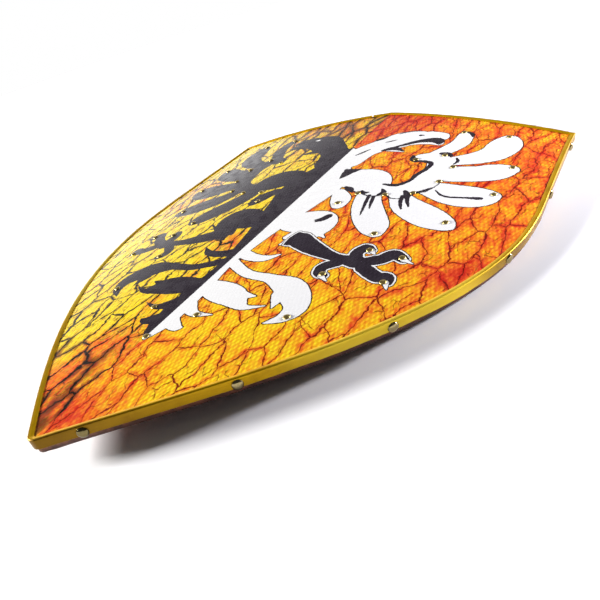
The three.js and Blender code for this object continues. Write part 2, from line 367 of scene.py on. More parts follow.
def bezier(handles, count):
    """Points along a Bezier curve through its first and last handles."""
    t = np.linspace(0, 1, count + 1)[:, None]
    layer = [np.array([handle], float) for handle in handles]
    while len(layer) > 1:
        layer = [a * (1 - t) + b * t for a, b in zip(layer, layer[1:])]
    return layer[0]


def spaced(line, count):
    """A line of points divided again into equal runs."""
    run = np.concatenate([[0], np.cumsum(np.hypot(*np.diff(line, axis=0).T))])
    stops = np.linspace(0, run[-1], count + 1)
    return np.column_stack([np.interp(stops, run, line[:, axis]) for axis in (0, 1)])


def right_half(form):
    """Right half of the outline as the point's arc, the side and the top edge, each from low to high."""
    turn = np.linspace(0, math.pi / 4, POINT_STEPS + 1)
    point = form.point_radius * np.column_stack([np.sin(turn), math.sqrt(2) - np.cos(turn)])
    straight = form.point_straightness
    lower = bezier([(0, 0), (straight, straight), (form.half_width, form.lower_swell),
                    (form.half_width, form.widest_low)], SIDE_STEPS)
    lower = lower[lower[:, 0] > point[-1, 0]]
    upper = bezier([(form.half_width, form.widest_high), (form.half_width, form.upper_swell),
                    (form.corner_across, form.shoulder_swell), (form.corner_across, form.corner_along)],
                   SIDE_STEPS)
    middle = (form.corner_along + form.peak_along) / 2 - 2 * form.top_hollow
    top = bezier([(form.corner_across, form.corner_along), (form.corner_across / 2, middle),
                  (0, form.peak_along)], TOP_STEPS)
    side = spaced(np.vstack([point[-1:], lower, upper]), SIDE_STEPS)
    return point, side, spaced(top, TOP_STEPS)


def inset_half(form, distance):
    """The right half moved inwards by a distance, with its corner and peak kept sharp."""
    point, side, top = right_half(form)
    half = np.vstack([point, side[1:], top[1:]])
    mirrored = half * (-1, 1)
    line = np.vstack([mirrored[1], half, mirrored[-2]])
    runs = np.diff(line, axis=0)
    runs /= np.hypot(*runs.T)[:, None]
    normals = np.column_stack([-runs[:, 1], runs[:, 0]])
    inward = normals[:-1] + normals[1:]
    inward /= np.hypot(*inward.T)[:, None]
    moved = half + inward * (distance / np.sum(inward * normals[:-1], axis=1))[:, None]
    return np.split(moved, [POINT_STEPS + 1, POINT_STEPS + 1 + SIDE_STEPS])


def along_line(line, share_of_run):
    """Places on an evenly divided line at shares of its run."""
    steps = np.linspace(0, 1, len(line))
    return np.column_stack([np.interp(share_of_run, steps, line[:, axis]) for axis in (0, 1)])


def plan_patch(form, distance, across_share, along_share):
    """Plan places of a square patch, -1 to 1 across and 0 to 1 along, spread to fill the outline."""
    point, side, top = inset_half(form, distance)
    side = np.vstack([point[-1:], side])
    top = np.vstack([side[-1:], top])[::-1]
    out = np.abs(across_share)[:, None]
    up = along_share[:, None]
    middle = (1 - up) * point[0] + up * top[0]
    edges = (1 - out) * middle + out * along_line(side, along_share)
    ends = (1 - up) * along_line(point, out[:, 0]) + up * along_line(top, out[:, 0])
    corners = (1 - out) * middle + out * ((1 - up) * side[0] + up * side[-1])
    return (edges + ends - corners) * np.column_stack([np.sign(across_share), np.ones(len(out))])


def rest_place(form):
    """Shift that puts the pitched shield's edge strip where the frame has it."""
    low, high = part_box("edge_trim")
    tip = form.point_radius * (math.sqrt(2) - 1)
    lowest_y = tip * math.cos(form.rest_pitch) + FRAME_ROUNDING * math.sin(form.rest_pitch)
    highest_z = (form.peak_along - FRAME_ROUNDING) * math.sin(form.rest_pitch)
    return Vector((0, low.y - lowest_y, high.z - highest_z))


def bent(form, across, along, depth):
    """Places in the frame of plan places at depths below the strip's lip, as one array."""
    turn = across / form.bend_radius
    reach = form.bend_radius - depth
    z = reach * np.cos(turn) - form.bend_radius
    cosine = math.cos(form.rest_pitch)
    sine = math.sin(form.rest_pitch)
    shift = rest_place(form)
    return np.column_stack([reach * np.sin(turn), along * cosine - z * sine + shift.y,
                            along * sine + z * cosine + shift.z])


def bent_direction(form, across, outward, up):
    """Direction in the frame of a plan direction at a place across, with an upward share."""
    turn = across / form.bend_radius
    right = Vector((math.cos(turn), 0, -math.sin(turn)))
    away = Vector((math.sin(turn), 0, math.cos(turn)))
    direction = right * outward[0] + Vector((0, outward[1], 0)) + away * up
    return (Matrix.Rotation(form.rest_pitch, 3, "X") @ direction).normalized()


# Meshes

def places(bm):
    """The vertices' places as an array."""
    return np.array([vertex.co for vertex in bm.verts])


def put_places(bm, array):
    """Moves the vertices to the places of an array."""
    for vertex, place in zip(bm.verts, array):
        vertex.co = place


def put_layer(bm, name, values):
    """Keeps one number for each vertex under a name that a finish can read."""
    layer = bm.verts.layers.float.new(name)
    for vertex, value in zip(bm.verts, values):
        vertex[layer] = value


def put_plan(bm, across, along):
    """Keeps each vertex's plan place under the name plan."""
    layer = bm.verts.layers.float_vector.new("plan")
    for vertex, x, y in zip(bm.verts, across, along):
        vertex[layer] = (x, y, 0)


def close_holes(bm):
    """Closes every open rim with a face."""
    bmesh.ops.holes_fill(bm, edges=[edge for edge in bm.edges if edge.is_boundary], sides=0)


def keep_upper(bm, merge):
    """Cuts off what lies below the origin's level and closes the cut."""
    everything = bm.verts[:] + bm.edges[:] + bm.faces[:]
    bmesh.ops.bisect_plane(bm, geom=everything, dist=merge, plane_co=(0, 0, 0), plane_no=(0, 0, 1),
                           clear_inner=True)
    close_holes(bm)


def finished(bm, name, finish, nodes):
    """Makes a bmesh an object that rides on the shield and stands for CAD nodes."""
    bmesh.ops.recalc_face_normals(bm, faces=bm.faces[:])
    open_edges = [edge for edge in bm.edges if len(edge.link_faces) != 2]
    if open_edges:
        raise RuntimeError(f"{name} isn't closed at {len(open_edges)} edges")
    mesh = bpy.data.meshes.new(name)
    bm.to_mesh(mesh)
    bm.free()
    mesh.shade_smooth()
    mesh.set_sharp_from_angle(angle=SHARP_ANGLE)
    mesh.materials.append(finish)
    piece = bpy.data.objects.new(name, mesh)
    bpy.context.scene.collection.objects.link(piece)
    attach(piece, "root")
    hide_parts(*nodes)
    return piece


def flat_panel(form, distance, columns, rows):
    """A flat sheet with the shield's outline, inset by a distance."""
    bm = bmesh.new()
    bmesh.ops.create_grid(bm, x_segments=columns, y_segments=rows, size=1)
    square = places(bm)
    plan = plan_patch(form, distance, square[:, 0], (square[:, 1] + 1) / 2)
    put_places(bm, np.column_stack([plan, np.zeros(len(plan))]))
    return bm


def bend_panel(form, bm, top):
    """Bends a flat panel whose upper face lies at a depth below the lip."""
    flat = places(bm)
    put_places(bm, bent(form, flat[:, 0], flat[:, 1], top - flat[:, 2]))
    return flat


# The painted figure

def stroke_line(points):
    """Close-set centres and half widths along a smooth line through a stroke's points."""
    knots = np.array(points, float)
    before = np.vstack([knots[0], knots, knots[-1]])
    pieces = []
    for start, a, b, end in zip(before, before[1:], before[2:], before[3:]):
        count = max(2, int(np.hypot(*(b - a)[:2])))
        t = np.linspace(0, 1, count + 1)[:, None]
        leave = (b - start) / 2
        arrive = (end - a) / 2
        pieces.append(a * (1 + 2 * t) * (1 - t) ** 2 + leave * t * (1 - t) ** 2
                      + b * t * t * (3 - 2 * t) - arrive * t * t * (1 - t))
    return np.vstack(pieces)


def distance_to(strokes, across, along):
    """Millimetres from each place to the nearest stroke's rim, negative inside."""
    nearest = np.full(len(across), FAR_FROM_PAINT)
    for stroke in strokes:
        line = stroke_line(stroke)
        reach = FAR_FROM_PAINT + line[:, 2].max()
        low = line.min(axis=0) - reach
        high = line.max(axis=0) + reach
        near = np.flatnonzero((across > low[0]) & (across < high[0]) & (along > low[1]) & (along < high[1]))
        steps = np.hypot(across[near, None] - line[:, 0], along[near, None] - line[:, 1])
        nearest[near] = np.minimum(nearest[near], (steps - line[:, 2]).min(axis=1))
    return nearest


def broad_areas(table, across, along):
    """Sum of soft round areas at plan places in millimetres, each kept to its own half."""
    total = np.zeros(len(across))
    for x, y, radius, change in table:
        near = np.clip(1 - np.hypot(across - x, along - y) / radius, 0, 1) * (across * x >= 0)
        total += change * near * near * (3 - 2 * near)
    return total


def painted_layers(bm):
    """Distances from the vertices of a flat panel to the rims of the figure's paints."""
    flat = places(bm) / MM
    across = np.abs(flat[:, 0])
    along = flat[:, 1]
    return {
        "figure": distance_to(BODY + HEAD + WING_ARM + FEATHERS + TAIL, across, along),
        "leg": distance_to(LEG, across, along),
        "claw": distance_to(CLAWS, across, along),
        "ink": distance_to(INK_LINES, across, along),
        "eye": distance_to(EYE, across, along),
    }


# Finishes

class Nodes:
    """A node tree, with short ways to add its nodes."""

    def __init__(self, tree):
        self.tree = tree

    def put(self, socket, value):
        """Joins a socket to another node's output, or sets its own value."""
        if isinstance(value, bpy.types.NodeSocket):
            self.tree.links.new(value, socket)
        else:
            socket.default_value = value

    def node(self, kind, inputs, **settings):
        """Adds a node with its settings and inputs."""
        node = self.tree.nodes.new("ShaderNode" + kind)
        for name, value in settings.items():
            setattr(node, name, value)
        for name, value in inputs.items():
            self.put(node.inputs[name], value)
        return node

    def sum(self, operation, a, b=0.0, c=0.0):
        """One sum of two or three numbers."""
        return self.node("Math", {0: a, 1: b, 2: c}, operation=operation).outputs[0]

    def step(self, value, low, high, start=0.0, end=1.0):
        """A smooth rise from start to end as a value goes from low to high."""
        inputs = {"Value": value, "From Min": low, "From Max": high, "To Min": start, "To Max": end}
        return self.node("MapRange", inputs, interpolation_type="SMOOTHSTEP").outputs[0]

    def mix(self, factor, a, b, blend="MIX"):
        """One colour laid over another by a factor."""
        node = self.node("Mix", {0: factor}, data_type="RGBA", blend_type=blend)
        self.put(node.inputs[6], a)
        self.put(node.inputs[7], b)
        return node.outputs[2]

    def number(self, name):
        """A number kept on the mesh."""
        return self.node("Attribute", {}, attribute_name=name).outputs["Fac"]

    def plan(self):
        """The plan place kept on the mesh."""
        return self.node("Attribute", {}, attribute_name="plan").outputs["Vector"]

    def object_place(self):
        """The place in the frame."""
        return self.node("TexCoord", {}).outputs["Object"]

    def part(self, vector, axis):
        """One number of a place: 0 across, 1 along, 2 up."""
        return self.node("SeparateXYZ", {0: vector}).outputs[axis]

    def seen(self):
        """1 for what the camera itself sees, 0 for light on its way."""
        return self.node("LightPath", {}).outputs["Is Camera Ray"]

    def stretched(self, vector, x, y, z=1.0, shift=(0.0, 0.0, 0.0)):
        """A place with each direction scaled, and then shifted."""
        return self.node("Mapping", {"Vector": vector, "Scale": (x, y, z), "Location": shift}).outputs[0]

    def cloud(self, vector, scale, detail=2.0, roughness=0.5):
        """Soft noise around one half."""
        inputs = {"Vector": vector, "Scale": scale, "Detail": detail, "Roughness": roughness}
        return self.node("TexNoise", inputs).outputs["Fac"]

    def wandering(self, vector, scale, reach, detail=2.0):
        """A place moved about by noise of a scale, as far as a reach."""
        cloud = self.node("TexNoise", {"Vector": vector, "Scale": scale, "Detail": detail}).outputs["Color"]
        centred = self.node("VectorMath", {0: cloud, 1: (0.5, 0.5, 0.5)}, operation="SUBTRACT").outputs[0]
        moved = self.node("VectorMath", {0: centred, "Scale": reach}, operation="SCALE").outputs[0]
        return self.node("VectorMath", {0: vector, 1: moved}, operation="ADD").outputs[0]

    def crack_reach(self, place, across, along):
        """Metres from a place to the nearest crack between cells of a width and a length."""
        probe = 0.01 * MM
        reaches = []
        for shift in ((0.0, 0.0, 0.0), (probe / across, 0.0, 0.0), (0.0, probe / along, 0.0)):
            cell = self.stretched(place, 1 / across, 1 / along, 1.0, shift)
            voronoi = self.node("TexVoronoi", {"Vector": cell, "Scale": 1.0}, feature="DISTANCE_TO_EDGE",
                                voronoi_dimensions="2D")
            reaches.append(voronoi.outputs["Distance"])
        here, right, up = reaches
        rise = {0: self.sum("SUBTRACT", right, here), 1: self.sum("SUBTRACT", up, here)}
        rise = self.node("CombineXYZ", rise).outputs[0]
        rise = self.node("VectorMath", {0: rise}, operation="LENGTH").outputs["Value"]
        slope = self.sum("MAXIMUM", self.sum("DIVIDE", rise, probe), 1.0)
        return self.sum("DIVIDE", here, slope)

    def ramp(self, value, colours):
        """Colours spread evenly over a value of 0 to 1."""
        node = self.node("ValToRGB", {0: value})
        stops = node.color_ramp.elements
        while len(stops) < len(colours):
            stops.new(0.5)
        for i, shade in enumerate(colours):
            stops[i].position = i / (len(colours) - 1)
            stops[i].color = shade
        return node.outputs[0]

    def bump(self, height, strength, distance):
        """A fine relief of the surface."""
        inputs = {"Height": height, "Strength": strength, "Distance": distance}
        return self.node("Bump", inputs).outputs[0]


class Finish(Nodes):
    """A material around one shader."""

    def __init__(self, name):
        self.material = bpy.data.materials.new(name)
        self.material.use_nodes = True
        super().__init__(self.material.node_tree)
        self.shader = self.tree.nodes["Principled BSDF"]

    def surface(self, **values):
        """Sets the shader's sockets, with _ for a space in their names."""
        for name, value in values.items():
            self.put(self.shader.inputs[name.replace("_", " ")], value)


def cracked_ground(fin, paint, plan, right):
    """The ground: hot colours in cracked cells, cooler and sooty on the left half."""
    left = fin.sum("SUBTRACT", 1.0, right)
    bowed = fin.wandering(fin.wandering(plan, 12.0, 0.03), 60.0, 0.008)
    jagged = fin.wandering(bowed, 240.0, 0.0036, 4.0)
    reach = fin.crack_reach(jagged, paint.cell_across, paint.cell_along)
    small = fin.wandering(jagged, 150.0, 0.004)
    small = fin.crack_reach(small, paint.cell_across * 0.5, paint.cell_along * 0.4)
    cloud = fin.cloud(plan, 34.0, 3.0, 0.6)
    streak = fin.cloud(fin.stretched(fin.wandering(plan, 40.0, 0.01), 420.0, 75.0), 1.0, 3.0, 0.65)
    fleck = fin.cloud(plan, 210.0, 3.0, 0.6)
    # Heat: broad areas, clouds, streaks along the shield, and a little more beside the cracks
    heat = fin.sum("ADD", fin.number("warmth"), fin.sum("MULTIPLY_ADD", right, 0.52, -0.18))
    for patches, weight in ((cloud, 1.15), (streak, 0.9), (fleck, 0.9)):
        heat = fin.sum("MULTIPLY_ADD", fin.sum("SUBTRACT", patches, 0.5), weight, heat)
    heat = fin.sum("ADD", heat, fin.step(reach, 0.0, 0.006, 0.14, -0.10))
    glow = fin.step(fin.cloud(plan, 40.0), 0.5, 0.7, 0.0, 0.36)
    glow = fin.sum("MULTIPLY", fin.step(reach, 0.0, 0.005, 1.0, 0.0), glow)
    heat = fin.sum("MULTIPLY_ADD", glow, right, heat)
    ground = fin.ramp(heat, [paint.yellow, paint.amber, paint.orange, paint.scarlet, paint.red])
    # Soot: fine streaks on the left half, fringes beside its cracks and dark areas
    lines = fin.sum("MULTIPLY", fin.step(streak, 0.36, 0.5, 0.75, 0.0), left)
    soot = fin.sum("ADD", fin.number("smoke"), fin.cloud(fin.stretched(bowed, 90.0, 36.0), 1.0, 4.0, 0.7))
    soot = fin.sum("MULTIPLY_ADD", right, -0.4, soot)
    fringe = fin.step(soot, 0.42, 1.1, 0.0, 0.012)
    fringe = fin.step(reach, fin.sum("MULTIPLY", fringe, 0.1), fringe, 0.8, 0.0)
    soot = fin.sum("MAXIMUM", fringe, fin.step(soot, 0.8, 1.3, 0.0, 0.85))
    ground = fin.mix(soot, fin.mix(lines, ground, paint.ochre), paint.brown)
    # Cracks, wider here and there, with thinner ones between them
    width = fin.step(fin.cloud(plan, 45.0, 3.0), 0.34, 0.72, paint.crack_width * 0.35, paint.crack_width)
    width = fin.sum("MULTIPLY", width, fin.sum("MULTIPLY_ADD", left, 1.1, 0.9))
    crack = fin.step(reach, fin.sum("MULTIPLY", width, 0.3), width, 1.0, 0.0)
    upper = fin.step(fin.part(plan, 1), *UPPER_CRACKS_ALONG, 0.0, 0.12)
    broken = fin.step(fin.sum("ADD", fin.cloud(plan, 52.0, 3.0), upper), 0.48, 0.62, 0.0, 0.8)
    thin = fin.step(small, paint.crack_width * 0.1, paint.crack_width * 0.5, 1.0, 0.0)
    crack = fin.sum("MAXIMUM", crack, fin.sum("MULTIPLY", thin, broken))
    return fin.mix(crack, ground, fin.mix(right, paint.dark_crack, paint.crack))


def canvas_finish(paint):
    """Varnished paint on canvas: the cracked ground, the two-coloured eagle and the weave."""
    fin = Finish("varnished_canvas_paint")
    plan = fin.plan()
    # Dots of the canvas threads in staggered rows, bright on darker hollows
    right = fin.sum("GREATER_THAN", fin.part(plan, 0), 0.0)
    rows = fin.sum("COSINE", fin.sum("MULTIPLY", fin.part(plan, 0), 2 * math.pi / paint.weave_across))
    columns = fin.sum("COSINE", fin.sum("MULTIPLY", fin.part(plan, 1), 2 * math.pi / paint.weave_along))
    weave = fin.sum("MULTIPLY", rows, columns)
    hollow = fin.step(weave, -0.4, 0.9, 1.0, 0.0)
    ground = cracked_ground(fin, paint, plan, right)
    shaded = fin.sum("MULTIPLY", hollow, fin.sum("MULTIPLY_ADD", right, 0.4, 0.4))
    ground = fin.mix(shaded, ground, GROUND_HOLLOW, "MULTIPLY")
    ragged = fin.sum("MULTIPLY", fin.sum("SUBTRACT", fin.cloud(plan, 240.0, 2.0), 0.5), RAGGEDNESS)

    def rim(name):
        return fin.sum("ADD", fin.number(name), ragged)

    def inside(distance, edge=0.0):
        return fin.step(distance, edge - PAINT_SOFTNESS, edge + PAINT_SOFTNESS, 1.0, 0.0)

    def coats(painted, layers):
        for mask, tint in layers:
            painted = fin.mix(mask, painted, tint)
        return painted

    figure = rim("figure")
    leg = rim("leg")
    claw = rim("claw")
    # Random lighter violet-grey patches on the dark paint: brush marks with painted sheen
    brush_and_sheen = fin.cloud(plan, 60.0, 4.0, 0.6)
    dark = fin.mix(fin.step(brush_and_sheen, 0.35, 0.75, 0.0, 0.3), paint.dark, BRUSH_AND_SHEEN)
    dark = fin.mix(fin.sum("MULTIPLY", hollow, 0.5), dark, DARK_HOLLOW, "MULTIPLY")
    # Right half, coat over coat: pale figure with a thin contour, a dark leg with a pale rim, ink lines
    pale_side = coats(ground, [
        (inside(figure, FIGURE_CONTOUR), paint.contour),
        (inside(figure), paint.pale),
        (inside(leg, LEG_CONTOUR), paint.contour),
        (inside(leg, LEG_RIM), paint.pale),
        (inside(leg), dark),
        (inside(claw, CLAW_CONTOUR), dark),
        (inside(claw), paint.pale),
        (inside(rim("ink")), dark),
        (inside(rim("eye")), dark),
    ])
    # Left half: one dark figure with a pale eye
    whole = fin.sum("MINIMUM", fin.sum("MINIMUM", figure, leg), claw)
    dark_side = coats(ground, [(inside(whole), dark), (inside(rim("eye")), paint.pale)])
    painted = fin.mix(right, dark_side, pale_side)
    dull = fin.step(fin.cloud(plan, 90.0, 3.0), 0.3, 0.7, paint.roughness - 0.06, paint.roughness + 0.08)
    fin.surface(Base_Color=painted, Roughness=dull, Normal=fin.bump(weave, 0.12, 0.0002),
                Specular_IOR_Level=0.5)
    return fin.material


def gilt_finish(metals):
    """Brushed gold sheet with rubbed and tarnished places, a painted highlight on the lower sides, and
    painted shade on the band at the point and the shoulders.
    """
    fin = Finish("brushed_gilt_sheet")
    run = fin.node("CombineXYZ", {0: fin.number("run"), 1: fin.number("girth")}).outputs[0]
    brushed = fin.cloud(fin.stretched(run, 25.0, 2600.0), 1.0, 3.0, 0.6)
    patches = fin.cloud(fin.object_place(), 38.0, 4.0, 0.62)
    tone = fin.mix(fin.step(patches, 0.42, 0.72, 0.0, 0.45), metals.gilt, metals.worn_gilt)
    tone = fin.mix(fin.step(brushed, 0.35, 0.75, 0.0, 0.25), tone, metals.worn_gilt)
    across = fin.sum("ABSOLUTE", fin.part(fin.object_place(), 0))
    along = fin.part(fin.object_place(), 1)
    # Painted highlight: brighter gilt on the lower sides, from 0.12 m across to just short of the widest
    # place, fading out upwards
    below_widest = fin.step(across, *WIDEST_ACROSS, 1.0, 0.0)
    painted_highlight = fin.sum("MULTIPLY", fin.step(across, *HIGHLIGHT_ACROSS), below_widest)
    painted_highlight = fin.sum("MULTIPLY", painted_highlight, fin.step(along, *HIGHLIGHT_ALONG, 1.0, 0.0))
    tone = fin.mix(painted_highlight, tone, metals.highlight_gilt)
    # Painted shade: the band darker at and beyond the widest place, up the shoulders and towards the point;
    # the lip is left out
    shoulder_shade = fin.step(across, *WIDEST_ACROSS, 0.0, 0.72)
    shoulder_shade = fin.sum("MAXIMUM", shoulder_shade, fin.step(along, *SHADED_SHOULDER_ALONG, 0.0, 0.72))
    shaded_band = fin.sum("MAXIMUM", fin.step(along, *SHADED_POINT_ALONG, 0.9, 0.0), shoulder_shade)
    shaded_band = fin.sum("MULTIPLY", shaded_band, fin.step(fin.number("girth"), *BAND_GIRTH, 1.0, 0.0))
    tone = fin.mix(shaded_band, tone, metals.shaded_gilt)
    dull = fin.step(brushed, 0.25, 0.8, 0.3, 0.42)
    fin.surface(Base_Color=tone, Roughness=dull, Metallic=0.7, Specular_IOR_Level=0.2,
                Normal=fin.bump(brushed, 0.12, 0.0002))
    return fin.material


def wood_finish(metals):
    """Stained plywood: long grain, pores and the layers' lines on the edge."""
    fin = Finish("stained_plywood")
    place = fin.wandering(fin.object_place(), 5.0, 0.05)
    grain = fin.cloud(fin.stretched(place, 120.0, 7.0, 120.0), 1.0, 5.0, 0.62)
    pores = fin.cloud(fin.stretched(place, 900.0, 45.0, 900.0), 1.0, 2.0, 0.5)
    tone = fin.mix(fin.step(grain, 0.32, 0.68), metals.dark_wood, metals.wood)
    tone = fin.mix(fin.step(pores, 0.58, 0.72, 0.0, 0.55), tone, metals.dark_wood)
    layers = fin.sum("SINE", fin.sum("MULTIPLY", fin.number("depth"), 2 * math.pi / metals.ply))
    on_edge = fin.number("edge")
    lines = fin.sum("MULTIPLY", fin.step(layers, -0.2, 0.5), on_edge)
    tone = fin.mix(fin.sum("MULTIPLY", lines, 0.6), tone, metals.dark_wood)
    relief = fin.sum("SUBTRACT", grain, fin.sum("MULTIPLY", pores, 0.5))
    dull = fin.step(grain, 0.3, 0.7, 0.62, 0.48)
    fin.surface(Base_Color=tone, Roughness=dull, Normal=fin.bump(relief, 0.3, 0.0004))
    return fin.material


def head_finish(name, metal, tarnish_and_shade, roughness):
    """A metal head with dull tarnish patches, and painted shade that darkens it towards the shield's point.
    """
    fin = Finish(name)
    patches = fin.cloud(fin.object_place(), 420.0, 4.0, 0.6)
    tone = fin.mix(fin.step(patches, 0.5, 0.75, 0.0, 0.5), metal, tarnish_and_shade)
    along = fin.part(fin.object_place(), 1)
    # Painted shade: the heads darker towards the shield's point
    tone = fin.mix(fin.step(along, *SHADED_HEADS_ALONG, 0.8, 0.0), tone, tarnish_and_shade)
    dull = fin.step(patches, 0.35, 0.75, roughness, roughness + 0.12)
    scratches = fin.cloud(fin.object_place(), 1500.0, 2.0, 0.5)
    fin.surface(Base_Color=tone, Roughness=dull, Metallic=1.0, Normal=fin.bump(scratches, 0.05, 0.0001))
    return fin.material


# Pieces

class SHIELD_OT_make_board(bpy.types.Operator):
    """Makes the bent plywood board, with rounded arrises and the two flats that it rests on"""

    bl_idname = "shield.make_board"
    bl_label = "Board"

    def execute(self, context):
        form = context.scene.shield_form
        edge_inset = form.strip_thick + form.gap
        top = form.strip_thick + form.gap + form.canvas_thick + form.gap
        bm = flat_panel(form, edge_inset, BOARD_COLUMNS, BOARD_ROWS)
        bmesh.ops.solidify(bm, geom=bm.faces[:], thickness=form.board_thick)
        arrises = [edge for edge in bm.edges if edge.calc_face_angle(0) > SHARP_ANGLE
                   and abs(edge.verts[0].co.z - edge.verts[1].co.z) < form.gap]
        bmesh.ops.bevel(bm, geom=arrises, offset=form.board_arris, offset_type="OFFSET", affect="EDGES",
                        segments=2, profile=0.5, material=-1)
        flat = bend_panel(form, bm, top)
        depth = -flat[:, 2]
        margin = form.board_arris / 4
        on_edge = (depth > margin) & (depth < form.board_thick - margin)
        put_layer(bm, "depth", depth)
        put_layer(bm, "edge", on_edge.astype(float))
        keep_upper(bm, MM * 0.001)
        finish = wood_finish(context.scene.shield_metals)
        finished(bm, "plywood_board", finish, ["board"])
        return {"FINISHED"}


class SHIELD_OT_make_canvas(bpy.types.Operator):
    """Makes the canvas facing, divided finely along the rims of its paints"""

    bl_idname = "shield.make_canvas"
    bl_label = "Painted canvas"

    def execute(self, context):
        form = context.scene.shield_form
        edge_inset = form.strip_thick + form.gap
        bm = flat_panel(form, edge_inset, CANVAS_COLUMNS, CANVAS_ROWS)
        bmesh.ops.solidify(bm, geom=bm.faces[:], thickness=form.canvas_thick)
        rims = np.min([np.abs(layer) for layer in painted_layers(bm).values()], axis=0)
        bm.verts.index_update()
        upper = -form.canvas_thick / 2
        at_rim = {vertex for vertex in bm.verts
                  if vertex.co.z > upper and rims[vertex.index] < PAINT_EDGE_BAND}
        near = [edge for edge in bm.edges if at_rim.issuperset(edge.verts)]
        bmesh.ops.subdivide_edges(bm, edges=near, cuts=PAINT_EDGE_CUTS, use_grid_fill=True)
        for name, distances in painted_layers(bm).items():
            put_layer(bm, name, distances)
        flat = bend_panel(form, bm, edge_inset)
        put_plan(bm, flat[:, 0], flat[:, 1])
        put_layer(bm, "warmth", broad_areas(HEAT, flat[:, 0] / MM, flat[:, 1] / MM))
        put_layer(bm, "smoke", broad_areas(SMOKE, flat[:, 0] / MM, flat[:, 1] / MM))
        finish = canvas_finish(context.scene.shield_paint)
        finished(bm, "painted_canvas", finish, ["face_canvas"])
        return {"FINISHED"}


def strip_section(form):
    """The strip's L section as insets and depths, from the band's foot over the fold and back."""
    fold = form.strip_fold
    edge = form.gap
    thick = form.strip_thick
    dip = form.lip_dip
    width = form.lip_width
    height = form.band_height
    turns = np.linspace(0, math.pi / 2, FOLD_STEPS + 1)
    band = [(0, height - edge), (0, height * 0.75), (0, height * 0.5), (0, height * 0.3)]
    over = [(fold - fold * math.cos(turn), fold - fold * math.sin(turn)) for turn in turns]
    lip = [(width * 0.5, dip * 0.3), (width - edge, dip), (width, (dip + thick) / 2),
           (width - edge / 2, thick)]
    under = [(thick + edge, thick), (thick, thick + edge), (thick, height), (edge, height)]
    return band + over + lip + under


def whole_ring(form, distance):
    """The whole outline, inset, from the strip's joint near the peak round to the joint again."""
    half = np.vstack(inset_half(form, distance))
    left = (half * (-1, 1))[::-1]
    ring = np.vstack([half, left[1:-1]])
    joint = len(half) + PEAK_TO_JOINT
    return np.vstack([ring[joint:], ring[:joint]])


def dented(form, plan, depth, run):
    """The strip's places moved in and out by the waves of a hand-fitted band."""
    wave = np.array([noise.noise(Vector((place / LONG_WAVE, 0, 0))) for place in run])
    fine = np.array([noise.noise(Vector((place / SHORT_WAVE, 7, 0))) for place in run])
    low = np.clip(depth / form.band_height, 0, 1)
    middle = np.array([0, form.corner_along * 0.6])
    outward = plan - middle
    outward /= np.hypot(*outward.T)[:, None]
    dent = form.dent * (wave + 0.5 * fine) * low
    return plan + outward * dent[:, None], depth + form.dent * 0.4 * wave


class SHIELD_OT_make_strip(bpy.types.Operator):
    """Makes the gold strip folded over the edge, with a butt joint near the peak and small dents"""

    bl_idname = "shield.make_strip"
    bl_label = "Edge strip"

    def execute(self, context):
        form = context.scene.shield_form
        section = strip_section(form)
        rings = [whole_ring(form, distance) for distance, depth in section]
        stations = len(rings[0])
        rows = len(section)
        bm = bmesh.new()
        bmesh.ops.create_grid(bm, x_segments=stations - 1, y_segments=rows, size=1)
        square = places(bm)
        station = np.rint((square[:, 0] + 1) / 2 * (stations - 1)).astype(int)
        row = np.rint((square[:, 1] + 1) / 2 * rows).astype(int) % rows
        plan = np.array(rings)[row, station]
        depth = np.array(section)[row, 1]
        run = np.concatenate([[0], np.cumsum(np.hypot(*np.diff(rings[0], axis=0).T))])[station]
        girth = np.concatenate([[0], np.cumsum(np.hypot(*np.diff(section, axis=0).T))])[row]
        plan, depth = dented(form, plan, depth, run)
        put_places(bm, bent(form, plan[:, 0], plan[:, 1], depth))
        put_layer(bm, "run", run)
        put_layer(bm, "girth", girth)
        bmesh.ops.remove_doubles(bm, verts=bm.verts[:], dist=form.gap / 50)
        close_holes(bm)
        finish = gilt_finish(context.scene.shield_metals)
        finished(bm, "gilt_edge_strip", finish, ["edge_trim"])
        return {"FINISHED"}


def head_mesh(radius, height, sides):
    """A domed head, its flat underside at the origin and its axis up."""
    bm = bmesh.new()
    bmesh.ops.create_uvsphere(bm, u_segments=sides, v_segments=sides // 2, radius=1)
    keep_upper(bm, MM)
    foot = [edge for edge in bm.edges if edge.calc_face_angle(0) > SHARP_ANGLE]
    bmesh.ops.bevel(bm, geom=foot, offset=FOOT_ROUNDING, offset_type="OFFSET", affect="EDGES",
                    segments=2, profile=0.5, material=-1)
    bmesh.ops.scale(bm, vec=(radius, radius, height), verts=bm.verts[:])
    return bm


def make_head(name, node, radius, height, sides, direction, finish, wear):
    """Makes one head along a direction in the place of its CAD node, a share of its height worn off."""
    bm = head_mesh(radius, height, sides)
    turn = Vector((0, 0, 1)).rotation_difference(direction).to_matrix()
    bmesh.ops.rotate(bm, cent=(0, 0, 0), matrix=turn, verts=bm.verts[:])
    own = places(bm)
    low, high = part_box(node)
    shift = (low + high) / 2 - Vector((own.min(axis=0) + own.max(axis=0)) / 2)
    bmesh.ops.scale(bm, vec=(1, 1, 1 - wear), space=turn.inverted().to_4x4(), verts=bm.verts[:])
    bmesh.ops.translate(bm, vec=shift, verts=bm.verts[:])
    return finished(bm, name, finish, [node])


def plan_place(form, node):
    """Plan place of a node's middle."""
    low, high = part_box(node)
    middle = (low + high) / 2
    return np.array([middle.x, (middle.y - rest_place(form).y) / math.cos(form.rest_pitch)])


